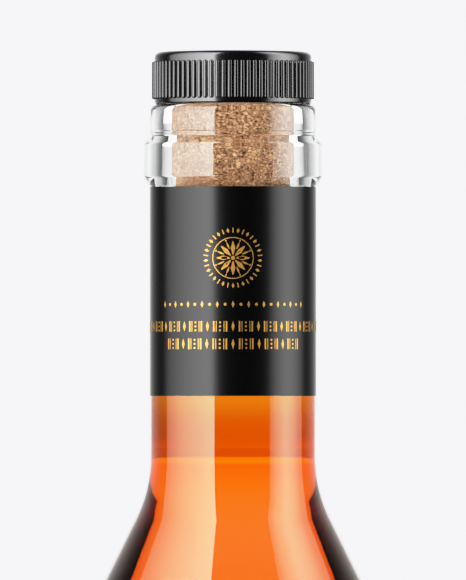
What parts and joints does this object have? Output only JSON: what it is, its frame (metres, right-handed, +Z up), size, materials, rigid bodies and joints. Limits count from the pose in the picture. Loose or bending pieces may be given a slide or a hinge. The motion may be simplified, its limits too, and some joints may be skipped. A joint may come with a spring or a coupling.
{
  "type": "spirits bottle",
  "caption": "Round-shouldered clear glass spirits bottle with a ringed finish, amber filling, black paper labels and a ribbed stopper head on a cork shank that pulls out.",
  "frame": {"origin": "middle of the base, on the plane that the bottle stands on", "axes": "+Z up along the bottle's axis, out of the mouth; the front label faces -Y"},
  "size_m": [0.084, 0.0842, 0.2643],
  "materials": {
    "flint_glass": "gloss",
    "amber_spirit": "gloss",
    "black_paper": "matte",
    "gold_foil": "satin",
    "black_plastic": "satin",
    "natural_plastic": "satin",
    "glue": "satin",
    "cork": "matte"
  },
  "bodies": {
    "bottle": {"glass_bottle": "flint_glass", "spirit": "amber_spirit", "neck_label": "black_paper", "front_label": "black_paper", "back_label": "black_paper"},
    "stopper": {"cap_shell": "black_plastic", "cap_insert": "natural_plastic", "shank_glue": "glue", "cork_shank": "cork"}
  },
  "joints": [
    {"name": "stopper_pull", "type": "slide", "parent": "bottle", "child": "stopper", "axis": [0, 0, 1], "range_m": [0, 0.035]}
  ]
}
